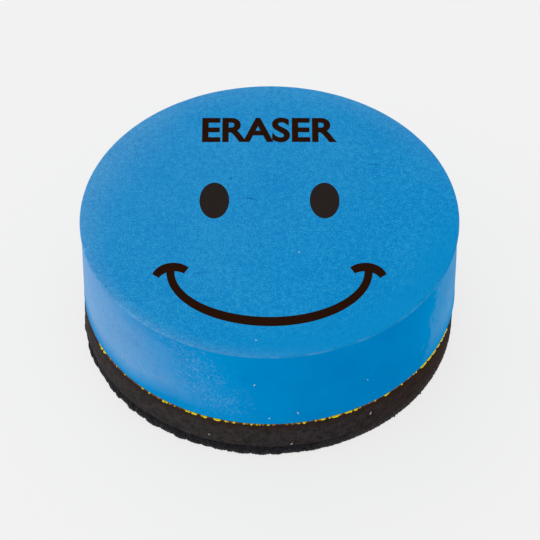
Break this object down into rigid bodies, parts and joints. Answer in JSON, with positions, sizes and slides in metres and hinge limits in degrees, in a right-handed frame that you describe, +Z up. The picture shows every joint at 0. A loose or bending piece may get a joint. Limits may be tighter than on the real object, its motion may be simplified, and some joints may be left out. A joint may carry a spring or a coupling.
{
  "type": "board eraser",
  "caption": "Round hand-sized board eraser: a thick foam grip on a black foam cushion faced with a pile wiping cloth.",
  "frame": {"origin": "centre of the underside, where the wiping cloth rests on the board", "axes": "+Z up through the printed face of the grip, +Y towards the top of the printed face, +X to its right"},
  "size_m": [0.057, 0.057, 0.0218],
  "materials": {
    "grip_foam": "matte",
    "pad_glue": "satin",
    "cushion_foam": "matte",
    "ferrite": "matte",
    "facing_glue": "satin",
    "pile_cloth": "matte"
  },
  "bodies": {
    "root": {"foam_grip": "grip_foam", "pad_glue_film": "pad_glue", "cushion_layer": "cushion_foam", "magnet_disc": "ferrite", "facing_glue_film": "facing_glue", "wiping_cloth": "pile_cloth"}
  },
  "joints": []
}
